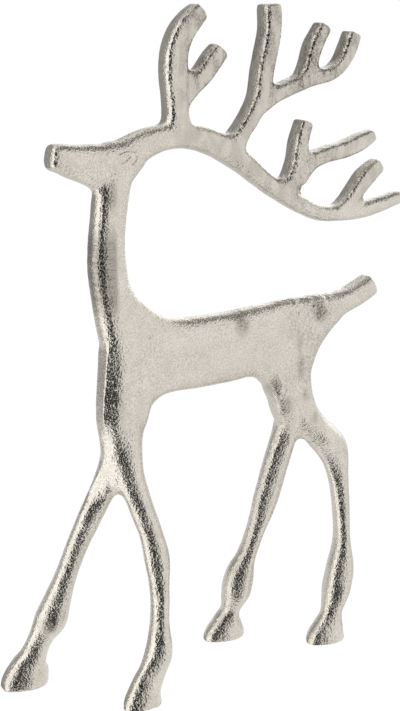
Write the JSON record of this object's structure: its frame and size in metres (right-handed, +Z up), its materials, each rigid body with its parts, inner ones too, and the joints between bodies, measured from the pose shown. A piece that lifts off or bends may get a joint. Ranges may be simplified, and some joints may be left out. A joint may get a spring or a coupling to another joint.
{
  "type": "reindeer figurine",
  "caption": "Slender standing reindeer figurine cast in pale metal, with a tall neck, a swept antler in the plane of the body and flared hooves that rest on a flat surface.",
  "frame": {"origin": "on the ground, under the middle of the figure's length and side-to-side size", "axes": "+Z up, the reindeer looks along -X, its right side is +Y, and head, neck, trunk, tail and antler lie in the plane Y = 0"},
  "size_m": [0.3, 0.087, 0.45],
  "materials": {
    "plated_metal": "satin nickel-plated sand casting with a fine mottled grain and file marks"
  },
  "bodies": {
    "root": {"reindeer": "plated_metal"}
  },
  "joints": []
}
